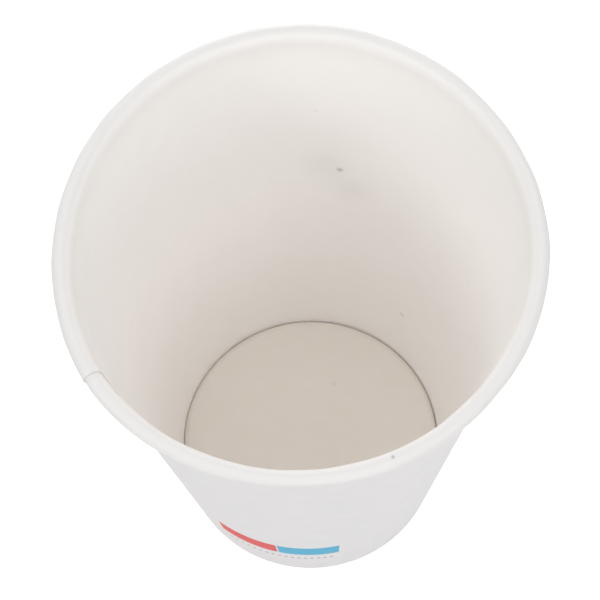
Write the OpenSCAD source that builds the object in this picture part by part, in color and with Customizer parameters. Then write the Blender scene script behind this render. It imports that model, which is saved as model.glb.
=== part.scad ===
// Paper coffee cup: a side wall wrapped from one board blank, and a base blank held in its foot.
// The origin is the middle of the foot, on the table, with +Z up. All sizes are in millimetres.

/* [Cup] */
// Height from the table to the top of the rim
cup_h = 115; // [60:1:180]
// Outside diameter of the rolled rim
rim_d = 90; // [75:0.5:110]
// Outside diameter of the foot
foot_d = 59; // [45:0.5:66]

/* [Board] */
// Thickness of the side wall's board
wall_board = 0.4; // [0.25:0.05:0.6]
// Thickness of the base's board
base_board = 0.35; // [0.2:0.05:0.6]

/* [Rolled rim] */
// Outside diameter of the roll
roll_d = 3; // [2.4:0.1:4.5]
// Angle that the roll turns through, from the wall over the top to its free edge
roll_turn = 300; // [200:5:310]

/* [Side seam] */
// Direction of the seam's inner edge, from +X towards +Y
seam_angle = 213; // [0:1:359]
// Angle over which the two ends of the wall lie on each other
lap_angle = 10; // [5:1:30]
// Step that the overlap keeps once it is pressed
lap_step = 0.2; // [0.05:0.05:0.3]

/* [Base] */
// Height of the base's top face above the table
base_recess = 7; // [5:0.5:15]
// Outside radius of the bend between the base's disc and its skirt
base_bend_r = 0.8; // [0.7:0.1:2.5]
// Distance from the skirt's lower edge up to where the foot's fold begins to turn
skirt_lift = 0.2; // [0:0.05:1]

/* [Foot fold] */
// Gap from the folded leaf's free edge to the underside of the base
leaf_gap = 1; // [0.6:0.1:3]
// Glue line on each face of the skirt
glue_line = 0.05; // [0.02:0.01:0.15]
// Depth by which the fold is pressed flat where it stands on the table
land_press = 0.05; // [0.02:0.01:0.1]

/* [Hidden] */
// Facets of a full turn about the cup's axis, of a bend's circle and of a bend's formula arc
TURN_FACETS = 120;
BEND_FACETS = 48;
BEND_STEPS = 9;
// Lengths along the wall are kept to this grid, so that straight runs and bends meet exactly
GRID = 0.01;

// The fold holds the base's skirt, with room for the seam's step and the glue
fold_slot = base_board + lap_step + 2 * glue_line;
fold_r = wall_board + fold_slot / 2;
fold_centre = [foot_d / 2 - fold_r, fold_r - land_press];

// The wall leans so that it leaves the fold and meets the roll as a tangent
roll_r = roll_d / 2;
roll_side = fold_r - wall_board + roll_r;
roll_reach = [rim_d / 2 - roll_r, cup_h - roll_r] - fold_centre;
wall_tilt = atan2(roll_reach.x, roll_reach.y) - asin(roll_side / norm(roll_reach));
wall_run = snap(sqrt(pow(norm(roll_reach), 2) - pow(roll_side, 2)));

// The base's bend touches the wall's inner face, less the glue, and the plane of the disc
skirt_side = fold_r - wall_board - glue_line;
bend_side = skirt_side - base_bend_r;
bend_z = base_recess - base_bend_r;
bend_along = (bend_z - fold_centre.y + bend_side * sin(wall_tilt)) / cos(wall_tilt);
leaf_h = snap(base_recess - base_board - leaf_gap - fold_centre.y);

function snap(length) = round(length / GRID) * GRID;

// A point beside the wall and along it, both measured from the fold's centre, in the section's plane
function beside_wall(side, along) =
    fold_centre + [
        side * cos(wall_tilt) + along * sin(wall_tilt),
        along * cos(wall_tilt) - side * sin(wall_tilt),
    ];

// Points of a circular bend, from one angle to another
function bend_points(centre, radius, from, to) = [
    for (i = [0 : BEND_STEPS])
        let (angle = from + (to - from) * i / BEND_STEPS)
        centre + radius * [cos(angle), sin(angle)]
];

// Ring of board with an outside radius, as seen across a bend
module board_ring(radius) {
    difference() {
        circle(r = radius, $fn = BEND_FACETS);
        circle(r = radius - wall_board, $fn = BEND_FACETS);
    }
}

// Roll in section: it starts at the wall, on the left, and turns clockwise to its free edge
module roll_section() {
    far = 2 * roll_r;
    free_angle = 180 - roll_turn;
    difference() {
        board_ring(roll_r);
        polygon([[0, 0], [-far, 0], [-far, -far], far * [cos(free_angle), sin(free_angle)]]);
    }
}

// Fold in section: the lower half of a ring
module fold_section() {
    difference() {
        board_ring(fold_r);
        translate([-fold_r, 0]) square([2 * fold_r, fold_r]);
    }
}

// The wall's board in section, from the leaf inside the foot to the rim's free edge
module wall_section() {
    difference() {
        translate(fold_centre) rotate(-wall_tilt) {
            translate([-fold_r, 0]) square([wall_board, leaf_h]);
            fold_section();
            translate([fold_r - wall_board, 0]) square([wall_board, wall_run]);
            translate([roll_side, wall_run]) roll_section();
        }
        translate([0, -fold_r]) square([foot_d, fold_r]);
    }
}

// One blank wrapped clockwise: each half turn has its own axis, so that the outer end clears the inner one
module side_wall() {
    color("#f3f1ed") rotate(seam_angle) {
        rotate_extrude(start = -180, angle = 180 - lap_angle, $fn = TURN_FACETS) wall_section();
        translate([lap_step / 2, 0, 0])
            rotate_extrude(angle = 180, $fn = TURN_FACETS) translate([lap_step / 2, 0]) wall_section();
        rotate_extrude(start = -lap_angle, angle = lap_angle, $fn = TURN_FACETS) {
            wall_section();
            translate([lap_step, 0]) wall_section();
        }
    }
}

// Round blank with its edge turned down into the fold
module base_disc() {
    bend_centre = beside_wall(bend_side, bend_along);
    outline = concat(
        [[0, base_recess]],
        bend_points(bend_centre, base_bend_r, 90, -wall_tilt),
        [beside_wall(skirt_side, skirt_lift), beside_wall(skirt_side - base_board, skirt_lift)],
        bend_points(bend_centre, base_bend_r - base_board, -wall_tilt, 90),
        [[0, base_recess - base_board]]
    );
    color("#e6ded3") rotate_extrude($fn = TURN_FACETS) polygon(outline);
}

side_wall();
base_disc();
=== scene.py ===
"""Looks of the paper coffee cup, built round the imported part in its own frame, in metres.

Each blank of board is a section that geometry nodes turn about the cup's axis and a modifier makes as thick as the
board. The studio and the camera follow the photograph.
"""

import logging
import math
from dataclasses import dataclass
from enum import Enum
from functools import partial

import bpy
from mathutils import Matrix, Vector


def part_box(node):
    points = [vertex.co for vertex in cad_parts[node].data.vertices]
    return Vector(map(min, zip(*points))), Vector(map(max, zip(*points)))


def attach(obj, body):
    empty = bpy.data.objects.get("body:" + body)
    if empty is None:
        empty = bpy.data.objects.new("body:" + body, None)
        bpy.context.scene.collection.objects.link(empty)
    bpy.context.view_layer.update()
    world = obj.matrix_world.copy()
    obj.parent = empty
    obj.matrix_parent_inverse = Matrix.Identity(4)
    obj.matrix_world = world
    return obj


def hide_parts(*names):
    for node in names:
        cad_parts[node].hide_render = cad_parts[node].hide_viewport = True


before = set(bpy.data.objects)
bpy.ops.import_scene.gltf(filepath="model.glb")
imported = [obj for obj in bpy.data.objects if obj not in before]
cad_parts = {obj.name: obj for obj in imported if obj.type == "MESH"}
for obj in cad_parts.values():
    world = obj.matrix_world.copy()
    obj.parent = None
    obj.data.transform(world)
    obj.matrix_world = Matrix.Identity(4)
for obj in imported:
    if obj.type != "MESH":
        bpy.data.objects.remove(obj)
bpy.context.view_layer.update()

LOG = logging.getLogger("paper_cup")
MM = 0.001
FULL_TURN = 2 * math.pi
# Side of the picture in pixels, for a focal length that is given in pixels
IMAGE_SIDE = 600

# Sockets of the colour mix node, whose names repeat
MIX_FACTOR, MIX_FROM, MIX_TO, MIX_RESULT = 0, 6, 7, 2
# Points of a sheet that are closer than this are one point
SAME_POINT = 0.001 * MM
# Typical of paper fibres and of the film on them
BOARD_IOR = 1.5


class Face(Enum):
    """Faces of a sheet of board, in the order of its material slots."""

    INSIDE = 0
    OUTSIDE = 1
    CUT_EDGE = 2


def linear(colour: str) -> tuple[float, float, float, float]:
    """Turns a hex colour into the linear values that a shader takes.

    Args:
        colour: sRGB colour such as "#f4f1ec".

    Returns:
        Linear red, green, blue and a full alpha.
    """
    shares = [int(colour[i:i + 2], 16) / 255 for i in (1, 3, 5)]
    lit = [c / 12.92 if c <= 0.04045 else ((c + 0.055) / 1.055) ** 2.4 for c in shares]
    return (*lit, 1.0)


def add_node(tree: bpy.types.NodeTree, kind: str, settings: dict | None = None,
             inputs: dict | None = None) -> bpy.types.Node:
    """Adds a node with its settings and links.

    Args:
        tree: Tree that gets the node.
        kind: Blender's own name for the kind of node.
        settings: Attributes of the node.
        inputs: Value, socket or list of sockets for each input, by name or number.

    Returns:
        The new node.
    """
    node = tree.nodes.new(kind)
    for name, value in (settings or {}).items():
        setattr(node, name, value)
    for key, value in (inputs or {}).items():
        for source in value if isinstance(value, list) else [value]:
            if isinstance(source, bpy.types.NodeSocket):
                tree.links.new(source, node.inputs[key])
            else:
                node.inputs[key].default_value = source
    return node


def geometry_tree(name: str, sizes: dict[str, float | Vector]) -> bpy.types.NodeTree:
    """Starts a tree of geometry nodes with a named input for each size.

    Args:
        name: Name of the tree.
        sizes: Sizes that the tree will be given, by input name.

    Returns:
        The tree, with its inputs and its output but no nodes.
    """
    tree = bpy.data.node_groups.new(name, "GeometryNodeTree")
    for label, size in sizes.items():
        kind = "NodeSocketVector" if isinstance(size, Vector) else "NodeSocketFloat"
        tree.interface.new_socket(label, in_out="INPUT", socket_type=kind)
    tree.interface.new_socket("Geometry", in_out="OUTPUT", socket_type="NodeSocketGeometry")
    return tree


def grow(name: str, tree: bpy.types.NodeTree, sizes: dict[str, float | Vector]) -> bpy.types.Object:
    """Makes a plain mesh object from a tree of geometry nodes.

    Args:
        name: Name of the object.
        tree: Tree that makes the geometry.
        sizes: Sizes for the tree's named inputs.

    Returns:
        The object, in the scene, with no modifier left on it.
    """
    obj = bpy.data.objects.new(name, bpy.data.meshes.new(name))
    bpy.context.scene.collection.objects.link(obj)
    modifier = obj.modifiers.new(tree.name, "NODES")
    modifier.node_group = tree
    for item in tree.interface.items_tree:
        if item.in_out == "INPUT":
            modifier[item.identifier] = sizes[item.name]
    settle(obj)
    return obj


def settle(obj: bpy.types.Object) -> None:
    """Turns what an object's modifiers show into its own plain mesh.

    Args:
        obj: Object whose modifiers are used up.
    """
    shown = obj.evaluated_get(bpy.context.evaluated_depsgraph_get())
    mesh = bpy.data.meshes.new_from_object(shown)
    mesh.name = obj.name
    obj.modifiers.clear()
    obj.data = mesh


def axis_distance(tree: bpy.types.NodeTree) -> bpy.types.NodeSocket:
    """Measures how far each point is from the cup's axis.

    Args:
        tree: Tree of geometry nodes.

    Returns:
        Socket with the distance.
    """
    add = partial(add_node, tree)
    position = add("GeometryNodeInputPosition").outputs[0]
    level = add("ShaderNodeVectorMath", {"operation": "MULTIPLY"}, {0: position, 1: (1.0, 1.0, 0.0)})
    return add("ShaderNodeVectorMath", {"operation": "LENGTH"}, {0: level.outputs[0]}).outputs["Value"]


@dataclass(frozen=True)
class ColourSpot:
    """A soft spot of colour on a board round a point of the cup, for real stains and for patches of painted shade.
    """

    place: Vector
    radius: float
    colour: str
    strength: float


# Specks in the board, and two wide grey smudges of painted shade where the rim's shadows meet on the back wall:
# place, radius, colour and strength
WALL_STAINS_AND_SHADE = (
    ColourSpot(Vector((9.3, 36.0, 71.4)) * MM, 1.1 * MM, "#80776c", 0.6),
    # Painted shade: these two faint grey patches darken the back wall where the rim's shadows meet
    ColourSpot(Vector((6.2, 36.8, 72.5)) * MM, 8 * MM, "#aaa4a6", 0.1),
    ColourSpot(Vector((12.0, 34.3, 65.1)) * MM, 8 * MM, "#aaa4a6", 0.1),
    ColourSpot(Vector((4.7, 39.0, 91.2)) * MM, 1.0 * MM, "#b5a894", 0.3),
    ColourSpot(Vector((22.6, 22.4, 24.4)) * MM, 1.3 * MM, "#a0978a", 0.25),
    ColourSpot(Vector((13.8, -41.2, 114.6)) * MM, 0.6 * MM, "#1a1614", 1.0),
)
BASE_STAINS = (ColourSpot(Vector((6.3, 13.0, 7.0)) * MM, 1.0 * MM, "#8a7f70", 0.14),)


@dataclass(frozen=True)
class Board:
    """Finish of one face of the cup's board, with the clouds and grain of its fibres."""

    name: str
    colour: str
    cloud_colour: str
    roughness: float
    gloss: float = 0.4
    roughness_change: float = 0.04
    # Clumps of fibres are a few millimetres wide. Single fibres, about 0.03 mm wide, are too fine to show in the
    # render, so the grain is drawn as coarse as it needs to be
    cloud: float = 4 * MM
    cloud_range: tuple[float, float] = (0.3, 0.7)
    grain: float = 0.5 * MM
    relief: float = 0.006 * MM
    # Real stains and specks, and patches of painted shade
    stains_and_shade: tuple[ColourSpot, ...] = ()

    def material(self) -> bpy.types.Material:
        """Builds the finish.

        Returns:
            A material with the board's colour, clouds, grain, marks and any patches of painted shade.
        """
        material = bpy.data.materials.new(self.name)
        material.use_nodes = True
        tree = material.node_tree
        tree.nodes.clear()
        add = partial(add_node, tree)
        place = add("ShaderNodeTexCoord").outputs["Object"]
        clouds = add("ShaderNodeTexNoise", {}, {"Vector": place, "Scale": 1 / self.cloud, "Detail": 4.0})
        grain = add("ShaderNodeTexNoise", {}, {"Vector": place, "Scale": 1 / self.grain, "Detail": 2.0})
        cover = add("ShaderNodeMapRange", {}, {
            "Value": clouds.outputs[0], "From Min": self.cloud_range[0], "From Max": self.cloud_range[1]})
        colour = add("ShaderNodeMix", {"data_type": "RGBA"}, {
            MIX_FACTOR: cover.outputs[0], MIX_FROM: linear(self.cloud_colour), MIX_TO: linear(self.colour)})
        marked = self.marked(tree, place, colour.outputs[MIX_RESULT])
        bump = add("ShaderNodeBump", {}, {"Strength": 1.0, "Distance": self.relief, "Height": grain.outputs[0]})
        rough = add("ShaderNodeMapRange", {}, {
            "Value": clouds.outputs[0], "To Min": self.roughness - self.roughness_change,
            "To Max": self.roughness + self.roughness_change})
        shader = add("ShaderNodeBsdfPrincipled", {}, {
            "Base Color": marked, "Roughness": rough.outputs[0], "IOR": BOARD_IOR,
            "Specular IOR Level": self.gloss, "Normal": bump.outputs[0]})
        add("ShaderNodeOutputMaterial", {}, {"Surface": shader.outputs[0]})
        return material

    def marked(self, tree: bpy.types.NodeTree, place: bpy.types.NodeSocket,
               colour: bpy.types.NodeSocket) -> bpy.types.NodeSocket:
        """Lays the stains, and any patches of painted shade, over the board's colour.

        Args:
            tree: The material's tree.
            place: Object coordinates.
            colour: Colour of the bare board.

        Returns:
            Colour with the stains and any painted shade.
        """
        add = partial(add_node, tree)
        # Each spot darkens the board round its point: a real stain or speck, and on the wall also two patches of
        # painted shade
        for colour_spot in self.stains_and_shade:
            away = add("ShaderNodeVectorMath", {"operation": "DISTANCE"}, {0: place, 1: colour_spot.place})
            share = add("ShaderNodeMapRange", {"interpolation_type": "SMOOTHSTEP"}, {
                "Value": away.outputs["Value"], "From Min": colour_spot.radius, "From Max": 0.0,
                "To Min": 0.0, "To Max": colour_spot.strength})
            mix = add("ShaderNodeMix", {"data_type": "RGBA"}, {
                MIX_FACTOR: share.outputs[0], MIX_FROM: colour, MIX_TO: linear(colour_spot.colour)})
            colour = mix.outputs[MIX_RESULT]
        return colour


@dataclass(frozen=True)
class RolledBoard(Board):
    """Finish of a face that the roll carries with it, with painted shade that greys the roll's top and outer side
    and the wall just under it.
    """

    # Colour of the painted shade on the roll and just under it
    roll_shade_colour: str = "#eae8e6"

    def marked(self, tree: bpy.types.NodeTree, place: bpy.types.NodeSocket,
               colour: bpy.types.NodeSocket) -> bpy.types.NodeSocket:
        """Lays painted shade on the roll and just under it, then the stains and any patches of painted shade over
        the board's colour.

        Args:
            tree: The material's tree.
            place: Object coordinates.
            colour: Colour of the bare board.

        Returns:
            Colour with the roll's painted shade, the stains and any patches of painted shade.
        """
        # Painted shade: the roll's top and outer side, and the wall just under the roll, turn towards the shade
        # colour by the share marked on the sheet
        stretch = add_node(tree, "ShaderNodeAttribute", {"attribute_name": "stretch"}).outputs["Fac"]
        mix = add_node(tree, "ShaderNodeMix", {"data_type": "RGBA"}, {
            MIX_FACTOR: stretch, MIX_FROM: colour, MIX_TO: linear(self.roll_shade_colour)})
        return super().marked(tree, place, mix.outputs[MIX_RESULT])


@dataclass(frozen=True)
class InkBlock:
    """Printed block with round corners, by its edges along the wall and up it."""

    left: float
    right: float
    low: float
    high: float
    corner: float
    ink: str


@dataclass(frozen=True)
class PrintedBoard(Board):
    """Uncoated outside face, with a printer's colour bar: a block of each ink over a row of dots."""

    # Direction of the bar's middle, from the front towards the right, and the wall's radius at its height
    centre: float = math.radians(-15.5)
    wall_radius: float = 32.2 * MM
    block_low: float = 20.2 * MM
    block_high: float = 29.0 * MM
    block_width: float = 13.4 * MM
    block_gap: float = 0.3 * MM
    corner: float = 0.4 * MM
    left_ink: str = "#dc1f1c"
    right_ink: str = "#1fabd2"
    dot_ink: str = "#5c5757"
    dot_height: float = 15.5 * MM
    dot_pitch: float = 1.5 * MM
    dot_radius: float = 0.4 * MM
    dots_aside: int = 8
    ink_cover: float = 0.95
    ink_blur: float = 0.08 * MM

    def marked(self, tree: bpy.types.NodeTree, place: bpy.types.NodeSocket,
               colour: bpy.types.NodeSocket) -> bpy.types.NodeSocket:
        """Prints the colour bar on the board.

        Args:
            tree: The material's tree.
            place: Object coordinates.
            colour: Colour of the bare board.

        Returns:
            Colour with the print.
        """
        add = partial(add_node, tree)
        # The place on the wall laid flat: along it from the bar's middle, and up it
        axes = add("ShaderNodeSeparateXYZ", {}, {0: place}).outputs
        towards = add("ShaderNodeMath", {"operation": "MULTIPLY"}, {0: axes["Y"], 1: -1.0})
        angle = add("ShaderNodeMath", {"operation": "ARCTAN2"}, {0: axes["X"], 1: towards.outputs[0]})
        turned = add("ShaderNodeMath", {"operation": "SUBTRACT"}, {0: angle.outputs[0], 1: self.centre})
        along = add("ShaderNodeMath", {"operation": "MULTIPLY"}, {0: turned.outputs[0], 1: self.wall_radius})
        spot = add("ShaderNodeCombineXYZ", {}, {"X": along.outputs[0], "Y": axes["Z"]}).outputs[0]
        near, far = self.block_gap / 2, self.block_gap / 2 + self.block_width
        for left, right, ink in ((-far, -near, self.left_ink), (near, far, self.right_ink)):
            block = InkBlock(left, right, self.block_low, self.block_high, self.corner, ink)
            colour = self.inked(tree, spot, spot, block, colour)
        # The middle of the nearest dot, on a grid of the dots' pitch
        pitch = Vector((self.dot_pitch,) * 3)
        shifted = add("ShaderNodeVectorMath", {"operation": "ADD"}, {0: spot, 1: pitch / 2})
        snapped = add("ShaderNodeVectorMath", {"operation": "SNAP"}, {0: shifted.outputs[0], 1: pitch}).outputs[0]
        reach = self.dots_aside * self.dot_pitch + self.dot_radius
        dots = InkBlock(-reach, reach, self.dot_height - self.dot_radius, self.dot_height + self.dot_radius,
                        self.dot_radius, self.dot_ink)
        return self.inked(tree, spot, snapped, dots, colour)

    def inked(self, tree: bpy.types.NodeTree, spot: bpy.types.NodeSocket, middle: bpy.types.NodeSocket,
              block: InkBlock, colour: bpy.types.NodeSocket) -> bpy.types.NodeSocket:
        """Lays ink over the colour in a block, or in dots along its middle.

        Args:
            tree: The material's tree.
            spot: Place along and up the wall.
            middle: The place itself for a full block, or the middle of the nearest dot.
            block: Edges and ink of the block.
            colour: Colour under the ink.

        Returns:
            Colour with the ink.
        """
        add = partial(add_node, tree)
        low = Vector((block.left + block.corner, block.low + block.corner, 0))
        high = Vector((block.right - block.corner, block.high - block.corner, 0))
        under = add("ShaderNodeVectorMath", {"operation": "MINIMUM"}, {0: middle, 1: high})
        core = add("ShaderNodeVectorMath", {"operation": "MAXIMUM"}, {0: under.outputs[0], 1: low})
        away = add("ShaderNodeVectorMath", {"operation": "DISTANCE"}, {0: spot, 1: core.outputs[0]})
        cover = add("ShaderNodeMapRange", {"interpolation_type": "SMOOTHSTEP"}, {
            "Value": away.outputs["Value"], "From Min": block.corner + self.ink_blur,
            "From Max": block.corner - self.ink_blur, "To Max": self.ink_cover})
        mix = add("ShaderNodeMix", {"data_type": "RGBA"}, {
            MIX_FACTOR: cover.outputs[0], MIX_FROM: colour, MIX_TO: linear(block.ink)})
        return mix.outputs[MIX_RESULT]


@dataclass(frozen=True)
class Straight:
    """Straight run of a section, from one point to another, as radius and height."""

    name: str
    start: Vector
    end: Vector
    points: int


@dataclass(frozen=True)
class Bend:
    """Round run of a section about a centre, with its angles from +radius towards +height."""

    name: str
    centre: Vector
    radius: float
    start: float
    sweep: float
    points: int


@dataclass(frozen=True)
class CupFrame:
    """Lines of the cup's section that its pieces share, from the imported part's own size."""

    height: float
    rim_radius: float
    base_top: float
    foot_radius: float = 29.5 * MM
    wall_board: float = 0.4 * MM
    # The fold has room for the base's skirt, the seam's step and the glue, and is pressed flat on the table
    fold_slot: float = 0.65 * MM
    land_press: float = 0.05 * MM
    # The inside of the wall flares a little before it rolls over
    roll_radius: float = 1.5 * MM
    flare_radius: float = 5 * MM
    flare_turn: float = math.radians(25)

    @property
    def fold_centre(self) -> Vector:
        """Centre of the fold, as radius and height."""
        outside = self.wall_board + self.fold_slot / 2
        return Vector((self.foot_radius - outside, outside - self.land_press))

    @property
    def roll_side(self) -> float:
        """Distance of the roll's centre from the wall's line through the fold's centre."""
        flare = self.flare_radius - (self.flare_radius - self.roll_radius) * math.cos(self.flare_turn)
        return self.fold_slot / 2 + flare

    @property
    def reach(self) -> Vector:
        """Way from the fold's centre to the roll's centre."""
        return Vector((self.rim_radius, self.height)) - Vector((self.roll_radius,) * 2) - self.fold_centre

    @property
    def lean(self) -> float:
        """Angle at which the wall leans outwards."""
        return math.atan2(self.reach.x, self.reach.y) - math.asin(self.roll_side / self.reach.length)

    @property
    def roll_along(self) -> float:
        """Distance of the roll's centre along the wall's line from the fold's centre."""
        return math.sqrt(self.reach.length_squared - self.roll_side ** 2)

    @property
    def run(self) -> float:
        """Length of the wall's straight run, up to where it begins to flare."""
        return self.roll_along - (self.flare_radius - self.roll_radius) * math.sin(self.flare_turn)

    @property
    def across(self) -> Vector:
        """Direction square to the wall, outwards."""
        return Vector((math.cos(self.lean), -math.sin(self.lean)))

    def beside(self, side: float, along: float) -> Vector:
        """Gives the point so far outwards and so far along the wall from the fold's centre, as radius and height."""
        upward = Vector((math.sin(self.lean), math.cos(self.lean)))
        return (self.fold_centre + side * self.across + along * upward).to_3d()


@dataclass
class BoardSheet:
    """A sheet of board: a section turned about the cup's axis and given its thickness."""

    cup: CupFrame
    finishes: dict[Face, bpy.types.Material]
    name: str = ""
    cad_node: str = ""
    slot: str = ""
    board: float = 0.0
    columns: int = 240
    start: float = 0.0
    lap: float = 0.0
    sharp_edge: float = math.radians(40)

    def section(self) -> list[Straight | Bend]:
        """Lists the runs of the section, in order along the sheet."""
        raise NotImplementedError

    def sizes(self) -> dict[str, float | Vector]:
        """Gives the sizes for the named inputs of the tree.

        Returns:
            Size of each input, by name.
        """
        sizes = {"Start": self.start, "Turn": FULL_TURN + self.lap}
        for run in self.section():
            if isinstance(run, Straight):
                sizes |= {f"{run.name} Start": run.start, f"{run.name} End": run.end}
            else:
                sizes |= {f"{run.name} Centre": run.centre, f"{run.name} Radius": run.radius,
                          f"{run.name} From": run.start, f"{run.name} Sweep": run.sweep}
        return sizes

    def sheet_tree(self) -> bpy.types.NodeTree:
        """Builds the tree that turns the section into a sheet.

        Returns:
            Tree of geometry nodes.
        """
        tree = geometry_tree(self.name, self.sizes())
        add = partial(add_node, tree)
        given = add("NodeGroupInput").outputs
        section = self.section_nodes(tree, given)
        # A flat grid: a column for each step of the turn, with a row for each point of the section
        rows = add("GeometryNodeAttributeDomainSize", {"component": "MESH"}, {0: section}).outputs["Point Count"]
        grid = add("GeometryNodeMeshGrid", {}, {"Vertices X": self.columns + 1, "Vertices Y": rows})
        index = add("GeometryNodeInputIndex").outputs[0]
        divide = add("ShaderNodeMath", {"operation": "DIVIDE"}, {0: index, 1: rows})
        column = add("ShaderNodeMath", {"operation": "FLOOR"}, {0: divide.outputs[0]})
        row = add("ShaderNodeMath", {"operation": "MODULO"}, {0: index, 1: rows})
        turn = add("ShaderNodeMapRange", {}, {
            "Value": column.outputs[0], "From Max": float(self.columns), "To Max": given["Turn"]})
        marked = add("GeometryNodeStoreNamedAttribute", {}, {
            "Geometry": grid.outputs[0], "Name": "turn", "Value": turn.outputs[0]})
        # Each grid point goes to its row's point of the section, turned clockwise to its column's angle
        position = add("GeometryNodeInputPosition").outputs[0]
        sample = add("GeometryNodeSampleIndex", {"data_type": "FLOAT_VECTOR"}, {
            "Geometry": section, "Value": position, "Index": row.outputs[0]})
        point = add("ShaderNodeSeparateXYZ", {}, {0: sample.outputs[0]}).outputs
        azimuth = add("ShaderNodeMath", {"operation": "SUBTRACT"}, {0: given["Start"], 1: turn.outputs[0]})
        flat = add("ShaderNodeCombineXYZ", {}, {"X": point["X"], "Z": point["Y"]})
        around = add("ShaderNodeVectorRotate", {"rotation_type": "Z_AXIS"}, {
            "Vector": flat.outputs[0], "Angle": azimuth.outputs[0]})
        wrapped = add("GeometryNodeSetPosition", {}, {"Geometry": marked.outputs[0], "Position": around.outputs[0]})
        shaped = self.shaped(tree, wrapped.outputs[0])
        real = add("GeometryNodeRealizeInstances", {}, {0: shaped})
        dressed = add("GeometryNodeSetMaterial", {}, {0: real.outputs[0], "Material": self.finishes[Face.INSIDE]})
        add("NodeGroupOutput", {}, {0: dressed.outputs[0]})
        return tree

    def section_nodes(self, tree: bpy.types.NodeTree,
                      given: bpy.types.bpy_prop_collection) -> bpy.types.NodeSocket:
        """Draws the section's runs and joins them end to end.

        Args:
            tree: Tree of the sheet.
            given: Outputs of the tree's input node.

        Returns:
            Socket with the section as one chain of points.
        """
        add = partial(add_node, tree)
        curves = []
        for run in self.section():
            if isinstance(run, Straight):
                line = add("GeometryNodeCurvePrimitiveLine", {}, {
                    "Start": given[f"{run.name} Start"], "End": given[f"{run.name} End"]})
                curve = add("GeometryNodeResampleCurve", {}, {"Curve": line.outputs[0], "Count": run.points})
            else:
                arc = add("GeometryNodeCurveArc", {}, {
                    "Resolution": run.points, "Radius": given[f"{run.name} Radius"],
                    "Start Angle": given[f"{run.name} From"], "Sweep Angle": given[f"{run.name} Sweep"]})
                curve = add("GeometryNodeTransform", {}, {
                    "Geometry": arc.outputs[0], "Translation": given[f"{run.name} Centre"]})
            curves.append(curve.outputs[0])
        joined = add("GeometryNodeJoinGeometry", {}, {0: curves[::-1]})
        chain = add("GeometryNodeCurveToMesh", {}, {"Curve": joined.outputs[0]})
        return add("GeometryNodeMergeByDistance", {}, {0: chain.outputs[0], "Distance": SAME_POINT}).outputs[0]

    def shaped(self, tree: bpy.types.NodeTree, sheet: bpy.types.NodeSocket) -> bpy.types.NodeSocket:
        """Gives the turned sheet its last shape and marks the share of the board's thickness on it."""
        raise NotImplementedError

    def build(self) -> bpy.types.Object:
        """Builds the sheet with its finishes and its thickness.

        Returns:
            The finished piece.
        """
        piece = grow(self.name, self.sheet_tree(), self.sizes())
        self.dress(piece)
        self.thicken(piece)
        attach(piece, "root")
        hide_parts(self.cad_node)
        return piece

    def dress(self, piece: bpy.types.Object) -> None:
        """Adds the finishes of the faces that come with the thickness, after that of the inside."""
        for face in (Face.OUTSIDE, Face.CUT_EDGE):
            piece.data.materials.append(self.finishes[face])

    def thicken(self, piece: bpy.types.Object) -> None:
        """Gives the sheet its thickness, presses its foot flat on the table and smooths it.

        Args:
            piece: The sheet, with the share of the board's thickness at each point.
        """
        group = piece.vertex_groups.new(name="board")
        for vertex, share in enumerate(piece.data.attributes["board"].data):
            group.add([vertex], share.value, "REPLACE")
        # The sheet is the inside face, and the board grows outwards from it
        thickness = piece.modifiers.new("board", "SOLIDIFY")
        thickness.thickness = self.board
        thickness.offset = -1
        thickness.use_even_offset = True
        thickness.vertex_group = group.name
        thickness.material_offset = Face.OUTSIDE.value
        thickness.material_offset_rim = Face.CUT_EDGE.value
        settle(piece)
        piece.vertex_groups.clear()
        for vertex in piece.data.vertices:
            vertex.co.z = max(vertex.co.z, 0.0)
        piece.data.shade_smooth()
        piece.data.set_sharp_from_angle(angle=self.sharp_edge)


@dataclass(frozen=True)
class RimWave:
    """One wave of a rim that is out of round: waves in a turn, depth and direction of a crest."""

    count: int
    depth: float
    crest: float


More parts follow.
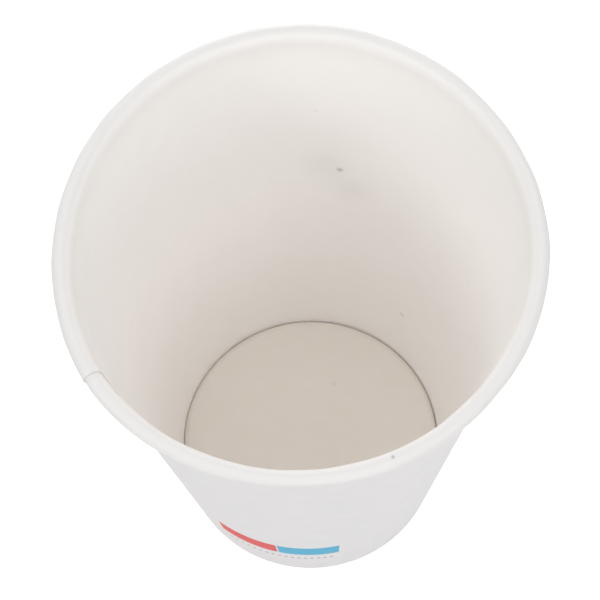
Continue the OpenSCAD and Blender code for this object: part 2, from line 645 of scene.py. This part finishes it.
@dataclass
class SideWall(BoardSheet):
    """The wrapped blank: a leaf folded up inside the foot, the wall and the rolled rim."""

    name: str = "side_wall_board"
    cad_node: str = "side_wall"
    slot: str = "wall_board"
    board: float = CupFrame.wall_board
    # The blank's end lies over its start at the seam, where both are pressed thinner and leave a small step
    start: float = math.radians(211.5)
    lap: float = math.radians(10)
    lap_step: float = 0.2 * MM
    lap_press: float = 0.05 * MM
    press_ramp: float = math.radians(3)
    pressed_share: float = 0.6
    leaf_height: float = 5 * MM
    roll_turn: float = math.radians(300)
    rim_waves: tuple[RimWave, ...] = (
        RimWave(1, 0.06 * MM, math.radians(68)),
        RimWave(2, 0.52 * MM, math.radians(152)),
        RimWave(3, 0.25 * MM, math.radians(-71)),
        RimWave(5, 0.10 * MM, math.radians(3)),
    )
    # The doubled board at the seam is stiffer: the rim bulges there, and its roll is thicker beside it
    seam_bulge: float = 0.12 * MM
    bulge_reach: float = math.radians(14)
    roll_swell: float = 0.1 * MM
    swell_centre: float = math.radians(228)
    swell_reach: float = math.radians(32)
    swell_rise: float = 5 * MM
    # The roll is a little uneven all round
    roll_lump: float = 0.1 * MM
    lump_size: float = 9 * MM
    lump_range: tuple[float, float] = (0.25, 0.75)
    # Painted shade begins on the wall under the roll, and is full part of the way across the roll
    wall_shade: float = 0.4
    wall_shade_rise: float = 6 * MM
    roll_shade_reach: float = 1.1 * MM

    def section(self) -> list[Straight | Bend]:
        """Lists the runs of the inner face, from the leaf's edge to the rim's free edge.

        Returns:
            The runs, in order.
        """
        cup, half = self.cup, self.cup.fold_slot / 2
        inward = math.pi - cup.lean
        return [
            Straight("Leaf", cup.beside(-half, self.leaf_height), cup.beside(-half, 0), points=6),
            Bend("Fold", cup.fold_centre.to_3d(), half, inward, math.pi, points=9),
            Straight("Wall", cup.beside(half, 0), cup.beside(half, cup.run), points=36),
            Bend("Flare", cup.beside(half + cup.flare_radius, cup.run), cup.flare_radius, inward,
                 -cup.flare_turn, points=8),
            Bend("Roll", cup.beside(cup.roll_side, cup.roll_along), cup.roll_radius,
                 inward - cup.flare_turn, cup.flare_turn - self.roll_turn, points=34),
        ]

    def shaped(self, tree: bpy.types.NodeTree, sheet: bpy.types.NodeSocket) -> bpy.types.NodeSocket:
        """Lets the wrap climb over its own start and bends the rim out of round.

        Args:
            tree: Tree of the sheet.
            sheet: Socket with the turned sheet.

        Returns:
            Socket with the shaped sheet.
        """
        add = partial(add_node, tree)
        turn = add("GeometryNodeInputNamedAttribute", {}, {"Name": "turn"}).outputs[0]
        climb = add("ShaderNodeMapRange", {"clamp": False}, {
            "Value": turn, "From Max": FULL_TURN, "To Min": -self.lap_step / 2, "To Max": self.lap_step / 2})
        # The seam's outer layer, over the other, is the sheet's end, and its inner layer is the sheet's start
        over = add("ShaderNodeMapRange", {"interpolation_type": "SMOOTHSTEP"}, {
            "Value": turn, "From Min": FULL_TURN - self.press_ramp, "From Max": FULL_TURN})
        under = add("ShaderNodeMapRange", {"interpolation_type": "SMOOTHSTEP"}, {
            "Value": turn, "From Min": self.lap + self.press_ramp, "From Max": self.lap})
        pressed = add("ShaderNodeMath", {"operation": "MAXIMUM"}, {0: over.outputs[0], 1: under.outputs[0]})
        share = add("ShaderNodeMapRange", {}, {
            "Value": pressed.outputs[0], "To Min": 1.0, "To Max": self.pressed_share})
        marked = add("GeometryNodeStoreNamedAttribute", {}, {
            "Geometry": self.mark_roll_shade(tree, sheet), "Name": "board", "Value": share.outputs[0]})
        lift = add("ShaderNodeMath", {"operation": "MULTIPLY_ADD"}, {
            0: over.outputs[0], 1: self.lap_press, 2: climb.outputs[0]})
        inwards = add("ShaderNodeMath", {"operation": "SUBTRACT"}, {
            0: self.swollen(tree, turn), 1: lift.outputs[0]})
        # The normals point into the cup, and out of the roll
        normal = add("GeometryNodeInputNormal").outputs[0]
        away = add("ShaderNodeVectorMath", {"operation": "SCALE"}, {0: normal, "Scale": inwards.outputs[0]})
        lapped = add("GeometryNodeSetPosition", {}, {"Geometry": marked.outputs[0], "Offset": away.outputs[0]})
        return self.out_of_round(tree, lapped.outputs[0])

    def mark_roll_shade(self, tree: bpy.types.NodeTree, sheet: bpy.types.NodeSocket) -> bpy.types.NodeSocket:
        """Marks the share of painted shade, from 0 to 1: full where the roll carries the sheet outside the wall's
        line, and part of it on the wall just under the roll.

        Args:
            tree: Tree of the sheet.
            sheet: Socket with the turned sheet.

        Returns:
            Socket with the marked sheet.
        """
        add = partial(add_node, tree)
        position = add("GeometryNodeInputPosition").outputs[0]
        height = add("ShaderNodeSeparateXYZ", {}, {0: position}).outputs["Z"]
        point = add("ShaderNodeCombineXYZ", {}, {"X": axis_distance(tree), "Y": height})
        side = add("ShaderNodeVectorMath", {"operation": "DOT_PRODUCT"}, {
            0: point.outputs[0], 1: self.cup.across.to_3d()})
        wall_line = self.cup.across.dot(self.cup.beside(self.cup.fold_slot / 2, 0).xy)
        rolled = add("ShaderNodeMapRange", {"interpolation_type": "SMOOTHSTEP"}, {
            "Value": side.outputs["Value"], "From Min": wall_line, "From Max": wall_line + self.roll_shade_reach})
        top = self.cup.height - self.cup.roll_radius
        risen = add("ShaderNodeMapRange", {"interpolation_type": "SMOOTHSTEP"}, {
            "Value": height, "From Min": top - self.wall_shade_rise, "From Max": top,
            "To Max": self.wall_shade})
        share = add("ShaderNodeMath", {"operation": "MAXIMUM"}, {0: rolled.outputs[0], 1: risen.outputs[0]})
        return add("GeometryNodeStoreNamedAttribute", {}, {
            "Geometry": sheet, "Name": "stretch", "Value": share.outputs[0]}).outputs[0]

    def swollen(self, tree: bpy.types.NodeTree, turn: bpy.types.NodeSocket) -> bpy.types.NodeSocket:
        """Gives the extra thickness of the roll, at its lumps and beside the seam.

        Args:
            tree: Tree of the sheet.
            turn: Angle of each point from the sheet's start.

        Returns:
            Socket with the distance that the sheet moves away from the roll's middle.
        """
        add = partial(add_node, tree)
        aside = add("ShaderNodeMath", {"operation": "SUBTRACT"}, {
            0: turn, 1: FULL_TURN + self.start - self.swell_centre})
        apart = add("ShaderNodeMath", {"operation": "ABSOLUTE"}, {0: aside.outputs[0]})
        near = add("ShaderNodeMapRange", {"interpolation_type": "SMOOTHERSTEP"}, {
            "Value": apart.outputs[0], "From Max": self.swell_reach, "To Min": self.roll_swell, "To Max": 0.0})
        position = add("GeometryNodeInputPosition").outputs[0]
        noise = add("ShaderNodeTexNoise", {}, {"Vector": position, "Scale": 1 / self.lump_size, "Detail": 1.0})
        lumps = add("ShaderNodeMapRange", {}, {
            "Value": noise.outputs[0], "From Min": self.lump_range[0], "From Max": self.lump_range[1],
            "To Min": -self.roll_lump, "To Max": self.roll_lump})
        both = add("ShaderNodeMath", {"operation": "ADD"}, {0: near.outputs[0], 1: lumps.outputs[0]})
        height = add("ShaderNodeSeparateXYZ", {}, {0: position}).outputs["Z"]
        top = self.cup.height - 2 * self.cup.roll_radius
        high = add("ShaderNodeMapRange", {"interpolation_type": "SMOOTHSTEP"}, {
            "Value": height, "From Min": top - self.swell_rise, "From Max": top})
        swell = add("ShaderNodeMath", {"operation": "MULTIPLY"}, {0: both.outputs[0], 1: high.outputs[0]})
        return swell.outputs[0]

    def out_of_round(self, tree: bpy.types.NodeTree, sheet: bpy.types.NodeSocket) -> bpy.types.NodeSocket:
        """Bends the rim out of round, less and less towards the foot.

        Args:
            tree: Tree of the sheet.
            sheet: Socket with the round sheet.

        Returns:
            Socket with the bent sheet.
        """
        add = partial(add_node, tree)
        position = add("GeometryNodeInputPosition").outputs[0]
        axes = add("ShaderNodeSeparateXYZ", {}, {0: position}).outputs
        azimuth = add("ShaderNodeMath", {"operation": "ARCTAN2"}, {0: axes["Y"], 1: axes["X"]})
        bend: float | bpy.types.NodeSocket = 0.0
        for wave in self.rim_waves:
            phase = add("ShaderNodeMath", {"operation": "MULTIPLY_ADD"}, {
                0: azimuth.outputs[0], 1: float(wave.count), 2: -wave.crest})
            crests = add("ShaderNodeMath", {"operation": "COSINE"}, {0: phase.outputs[0]})
            bent = add("ShaderNodeMath", {"operation": "MULTIPLY_ADD"}, {
                0: crests.outputs[0], 1: wave.depth, 2: bend})
            bend = bent.outputs[0]
        aside = add("ShaderNodeMath", {"operation": "SUBTRACT"}, {
            0: azimuth.outputs[0], 1: self.start - FULL_TURN})
        apart = add("ShaderNodeMath", {"operation": "ABSOLUTE"}, {0: aside.outputs[0]})
        bulge = add("ShaderNodeMapRange", {"interpolation_type": "SMOOTHERSTEP"}, {
            "Value": apart.outputs[0], "From Max": self.bulge_reach, "To Min": self.seam_bulge, "To Max": 0.0})
        bend = add("ShaderNodeMath", {"operation": "ADD"}, {0: bend, 1: bulge.outputs[0]}).outputs[0]
        # All of it at the rim, and none on the table
        share = add("ShaderNodeMath", {"operation": "DIVIDE"}, {0: axes["Z"], 1: self.cup.height})
        amount = add("ShaderNodeMath", {"operation": "MULTIPLY"}, {0: bend, 1: share.outputs[0]})
        level = add("ShaderNodeCombineXYZ", {}, {"X": axes["X"], "Y": axes["Y"]})
        radial = add("ShaderNodeVectorMath", {"operation": "NORMALIZE"}, {0: level.outputs[0]})
        offset = add("ShaderNodeVectorMath", {"operation": "SCALE"}, {
            0: radial.outputs[0], "Scale": amount.outputs[0]})
        return add("GeometryNodeSetPosition", {}, {"Geometry": sheet, "Offset": offset.outputs[0]}).outputs[0]


@dataclass
class BaseDisc(BoardSheet):
    """The round blank of the base, with its edge bent down into the wall's fold."""

    name: str = "base_disc_board"
    cad_node: str = "base_disc"
    slot: str = "base_board"
    board: float = 0.35 * MM
    # The bend leaves a groove along the wall, and the skirt comes up to the wall again below it
    bend_radius: float = 1.5 * MM
    bend_gap: float = 0.1 * MM
    glue_line: float = 0.05 * MM
    skirt_lift: float = 0.2 * MM
    sag: float = 0.2 * MM

    def section(self) -> list[Straight | Bend]:
        """Lists the runs of the top face, from the middle to the skirt's lower edge.

        Returns:
            The runs, in order.
        """
        cup = self.cup
        upper_side = cup.fold_slot / 2 - self.bend_gap
        lower_side = cup.fold_slot / 2 - self.glue_line
        rise = cup.base_top - self.bend_radius - cup.fold_centre.y
        side = upper_side - self.bend_radius
        along = (rise + side * math.sin(cup.lean)) / math.cos(cup.lean)
        skirt_lean = cup.lean - math.atan2(lower_side - upper_side, along - self.skirt_lift)
        centre = cup.beside(side, along)
        edge = centre + self.bend_radius * Vector((math.cos(skirt_lean), -math.sin(skirt_lean), 0))
        top = Vector((0, cup.base_top, 0))
        return [
            Straight("Disc", top, centre + Vector((0, self.bend_radius, 0)), points=24),
            Bend("Bend", centre, self.bend_radius, math.pi / 2, -math.pi / 2 - skirt_lean, points=10),
            Straight("Skirt", edge, cup.beside(lower_side, self.skirt_lift), points=5),
        ]

    def shaped(self, tree: bpy.types.NodeTree, sheet: bpy.types.NodeSocket) -> bpy.types.NodeSocket:
        """Closes the turned disc and lets its middle sag a little.

        Args:
            tree: Tree of the sheet.
            sheet: Socket with the turned sheet.

        Returns:
            Socket with the shaped sheet.
        """
        add = partial(add_node, tree)
        marked = add("GeometryNodeStoreNamedAttribute", {}, {"Geometry": sheet, "Name": "board", "Value": 1.0})
        closed = add("GeometryNodeMergeByDistance", {}, {0: marked.outputs[0], "Distance": SAME_POINT})
        depth = add("ShaderNodeMapRange", {"interpolation_type": "SMOOTHSTEP"}, {
            "Value": axis_distance(tree), "From Max": self.cup.fold_centre.x, "To Min": -self.sag, "To Max": 0.0})
        offset = add("ShaderNodeCombineXYZ", {}, {"Z": depth.outputs[0]})
        return add("GeometryNodeSetPosition", {}, {
            "Geometry": closed.outputs[0], "Offset": offset.outputs[0]}).outputs[0]


@dataclass
class CrimpRidges:
    """Upright ridges that the crimping wheel leaves on the leaf inside the foot."""

    wall: SideWall
    finish: bpy.types.Material
    name: str = "foot_crimp_ridges"
    count: int = 96
    height: float = 3.6 * MM
    width: float = 0.9 * MM
    depth: float = 0.3 * MM

    def ridge_tree(self, sizes: dict[str, float | Vector]) -> bpy.types.NodeTree:
        """Builds the tree that sets one ridge after another round the leaf.

        Args:
            sizes: Sizes of the tree's named inputs.

        Returns:
            Tree of geometry nodes.
        """
        tree = geometry_tree(self.name, sizes)
        add = partial(add_node, tree)
        given = add("NodeGroupInput").outputs
        index = add("GeometryNodeInputIndex").outputs[0]
        turn = add("ShaderNodeMapRange", {"clamp": False}, {
            "Value": index, "From Max": float(self.count), "To Max": FULL_TURN})
        azimuth = add("ShaderNodeMath", {"operation": "SUBTRACT"}, {0: given["Start"], 1: turn.outputs[0]})
        climb = add("ShaderNodeMapRange", {}, {
            "Value": turn.outputs[0], "From Max": FULL_TURN, "To Min": given["First Radius"],
            "To Max": given["Last Radius"]})
        flat = add("ShaderNodeCombineXYZ", {}, {"X": climb.outputs[0], "Z": given["Middle Height"]})
        around = add("ShaderNodeVectorRotate", {"rotation_type": "Z_AXIS"}, {
            "Vector": flat.outputs[0], "Angle": azimuth.outputs[0]})
        points = add("GeometryNodePoints", {}, {"Count": self.count, "Position": around.outputs[0]})
        # A ball of diameter 1, so that its scale is the ridge's size
        ball = add("GeometryNodeMeshUVSphere", {}, {"Segments": 8, "Rings": 6, "Radius": 0.5})
        ridge = add("GeometryNodeTransform", {}, {"Geometry": ball.outputs[0], "Scale": given["Ridge Size"]})
        turned = add("ShaderNodeCombineXYZ", {}, {"Y": given["Lean"], "Z": azimuth.outputs[0]})
        ridges = add("GeometryNodeInstanceOnPoints", {}, {
            "Points": points.outputs[0], "Instance": ridge.outputs[0], "Rotation": turned.outputs[0]})
        real = add("GeometryNodeRealizeInstances", {}, {0: ridges.outputs[0]})
        smooth = add("GeometryNodeSetShadeSmooth", {}, {0: real.outputs[0]})
        dressed = add("GeometryNodeSetMaterial", {}, {0: smooth.outputs[0], "Material": self.finish})
        add("NodeGroupOutput", {}, {0: dressed.outputs[0]})
        return tree

    def build(self) -> bpy.types.Object:
        """Builds the ridges.

        Returns:
            The finished piece.
        """
        wall, cup = self.wall, self.wall.cup
        face = cup.beside(-cup.fold_slot / 2 - wall.board, wall.leaf_height / 2)
        sizes = {"Start": wall.start, "First Radius": face.x + wall.lap_step / 2,
                 "Last Radius": face.x - wall.lap_step / 2, "Middle Height": face.y, "Lean": cup.lean,
                 "Ridge Size": Vector((self.depth, self.width, self.height))}
        piece = grow(self.name, self.ridge_tree(sizes), sizes)
        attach(piece, "root")
        return piece


@dataclass(frozen=True)
class PhotoCamera:
    """Camera at the photograph's viewing angle, with its sizes found from the rim, base line and foot."""

    place: Vector = Vector((0.0, -136.83 * MM, 408.83 * MM))
    down: float = math.radians(66.87)
    aside: float = math.radians(-0.19)
    roll: float = math.radians(-3.51)
    focal_pixels: float = 1815.4
    film_width: float = 36.0

    def build(self) -> None:
        """Places the camera and makes it the scene's."""
        forward = Vector((math.sin(self.aside) * math.cos(self.down), math.cos(self.aside) * math.cos(self.down),
                          -math.sin(self.down)))
        right = forward.cross(Vector((0, 0, 1))).normalized()
        up = right.cross(forward)
        # The camera's own axes, once it has rolled about its view
        turned = math.cos(self.roll) * right + math.sin(self.roll) * up
        upward = turned.cross(forward)
        camera = bpy.data.objects.new("photo_camera", bpy.data.cameras.new("photo_camera"))
        camera.data.sensor_width = self.film_width
        camera.data.lens = self.film_width * self.focal_pixels / IMAGE_SIDE
        camera.data.clip_start = 10 * MM
        turn = Matrix((turned, upward, -forward)).transposed()
        camera.matrix_world = Matrix.Translation(self.place) @ turn.to_4x4()
        bpy.context.scene.collection.objects.link(camera)
        bpy.context.scene.camera = camera


@dataclass(frozen=True)
class SoftLamp:
    """Square soft lamp on a sphere round the cup, which it faces: angles in degrees, power in watts."""

    name: str
    azimuth: float
    elevation: float
    power: float
    distance: float = 0.9
    side: float = 0.5

    def build(self, aim: Vector) -> None:
        """Places the lamp.

        Args:
            aim: Point that the lamp faces, and the sphere's centre.
        """
        level, turn = math.radians(self.elevation), math.radians(self.azimuth)
        way = Vector((math.cos(turn) * math.cos(level), math.sin(turn) * math.cos(level), math.sin(level)))
        light = bpy.data.lights.new(self.name, "AREA")
        light.size = self.side
        light.energy = self.power
        lamp = bpy.data.objects.new(self.name, light)
        lamp.location = aim + self.distance * way
        lamp.rotation_euler = (-way).to_track_quat("-Z", "Y").to_euler()
        bpy.context.scene.collection.objects.link(lamp)


@dataclass
class Studio:
    """Pale floor, even surroundings and a ring of soft lamps."""

    floor_side: float = 4.0
    floor_colour: str = "#dcdcdc"
    floor_glow: float = 0.6
    surround: float = 0.5
    lamps: tuple[SoftLamp, ...] = (
        SoftLamp("low_front_softbox", 285, 10, 1.65),
        SoftLamp("high_right_softbox", 315, 55, 1.5),
        SoftLamp("high_back_softbox", 45, 55, 0.7),
        SoftLamp("low_back_softbox", 90, 8, 2.98),
        SoftLamp("left_softbox", 200, 34, 1.28, side=0.3),
        SoftLamp("high_left_softbox", 180, 70, 1.07),
    )

    def build(self, middle: Vector) -> None:
        """Sets up the floor, the surroundings and the lamps.

        Args:
            middle: Point that the lamps face.
        """
        half = self.floor_side / 2
        mesh = bpy.data.meshes.new("pale_floor")
        corners = [(-half, -half, 0), (half, -half, 0), (half, half, 0), (-half, half, 0)]
        mesh.from_pydata(corners, [], [(0, 1, 2, 3)])
        mesh.materials.append(self.floor_material())
        floor = bpy.data.objects.new("pale_floor", mesh)
        bpy.context.scene.collection.objects.link(floor)
        for lamp in self.lamps:
            lamp.build(middle)
        self.build_surround()

    def floor_material(self) -> bpy.types.Material:
        """Builds the floor's paint: matt white that the camera sees as white, with the cup's shadow.

        Returns:
            The floor's material.
        """
        material = bpy.data.materials.new("matt_white_floor")
        material.use_nodes = True
        tree = material.node_tree
        tree.nodes.clear()
        add = partial(add_node, tree)
        paint = add("ShaderNodeBsdfDiffuse", {}, {"Color": linear(self.floor_colour)})
        glow = add("ShaderNodeEmission", {}, {
            "Color": linear("#ffffff"), "Strength": self.seen(tree, self.floor_glow)})
        both = add("ShaderNodeAddShader", {}, {0: paint.outputs[0], 1: glow.outputs[0]})
        add("ShaderNodeOutputMaterial", {}, {"Surface": both.outputs[0]})
        return material

    def seen(self, tree: bpy.types.NodeTree, strength: float) -> bpy.types.NodeSocket:
        """Gives a strength to rays that show the background, and none to rays that light the cup.

        Args:
            tree: Tree of the floor or of the surroundings.
            strength: Strength for the rays that show it.

        Returns:
            Socket with the strength.
        """
        add = partial(add_node, tree)
        path = add("ShaderNodeLightPath").outputs
        shown = add("ShaderNodeMath", {"operation": "MAXIMUM"}, {
            0: path["Is Camera Ray"], 1: path["Is Transmission Ray"]})
        mirrored = add("ShaderNodeMath", {"operation": "MAXIMUM"}, {
            0: shown.outputs[0], 1: path["Is Glossy Ray"]})
        return add("ShaderNodeMath", {"operation": "MULTIPLY"}, {0: mirrored.outputs[0], 1: strength}).outputs[0]

    def build_surround(self) -> None:
        """Builds the even light of the surroundings, which the camera sees as white."""
        world = bpy.data.worlds.new("even_surround")
        world.use_nodes = True
        tree = world.node_tree
        tree.nodes.clear()
        add = partial(add_node, tree)
        extra = self.seen(tree, 1.0 - self.surround)
        strength = add("ShaderNodeMath", {"operation": "ADD"}, {0: extra, 1: self.surround})
        light = add("ShaderNodeBackground", {}, {"Color": linear("#ffffff"), "Strength": strength.outputs[0]})
        add("ShaderNodeOutputWorld", {}, {"Surface": light.outputs[0]})
        bpy.context.scene.world = world


def board_finishes() -> tuple[dict[Face, bpy.types.Material], dict[Face, bpy.types.Material]]:
    """Builds the finishes of the cup's two boards.

    Returns:
        Finishes of the wall and finishes of the base, by face.
    """
    # Board coated with a thin plastic film: a warm white with a soft sheen, greyed by painted shade on the roll and
    # just under it
    inside = RolledBoard("film_coated_board", "#fefcfa", "#fcfaf8", roughness=0.45, stains_and_shade=WALL_STAINS_AND_SHADE)
    # The base's own stock, with the same film: a little greyer than the wall
    base_inside = Board("film_coated_base_board", "#efeae3", "#ede7df", roughness=0.45, stains_and_shade=BASE_STAINS)
    # Plain board on the outside: a neutral, matt white that takes the print
    outside = PrintedBoard("printed_plain_board", "#eae8e8", "#e7e5e5", roughness=0.6)
    # Edge where the blank was cut: bare fibres, matt, with painted shade that greys them on the roll and just under
    # it
    cut = RolledBoard("cut_board_edge", "#eeebe6", "#e8e4de", roughness=0.9, gloss=0.1, roll_shade_colour="#d2cec6")
    wall = {Face.INSIDE: inside.material(), Face.OUTSIDE: outside.material(), Face.CUT_EDGE: cut.material()}
    return wall, wall | {Face.INSIDE: base_inside.material()}


def main() -> None:
    """Builds the cup's pieces, the studio and the camera."""
    logging.basicConfig(level=logging.INFO, format="%(name)s: %(message)s")
    bpy.context.scene.view_settings.view_transform = "Standard"
    # Light goes on from wall to wall in a deep white cup
    bpy.context.scene.cycles.diffuse_bounces = 8
    low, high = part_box("side_wall")
    rim_radius = (high.x - low.x + high.y - low.y) / 4
    cup = CupFrame(height=high.z, rim_radius=rim_radius, base_top=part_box("base_disc")[1].z)
    wall_finishes, base_finishes = board_finishes()
    wall = SideWall(cup, wall_finishes)
    for part in (wall, BaseDisc(cup, base_finishes), CrimpRidges(wall, wall_finishes[Face.OUTSIDE])):
        piece = part.build()
        LOG.info("%s: %d faces", piece.name, len(piece.data.polygons))
    Studio().build(Vector((0, 0, cup.height / 2)))
    PhotoCamera().build()


if __name__ == "__main__":
    main()
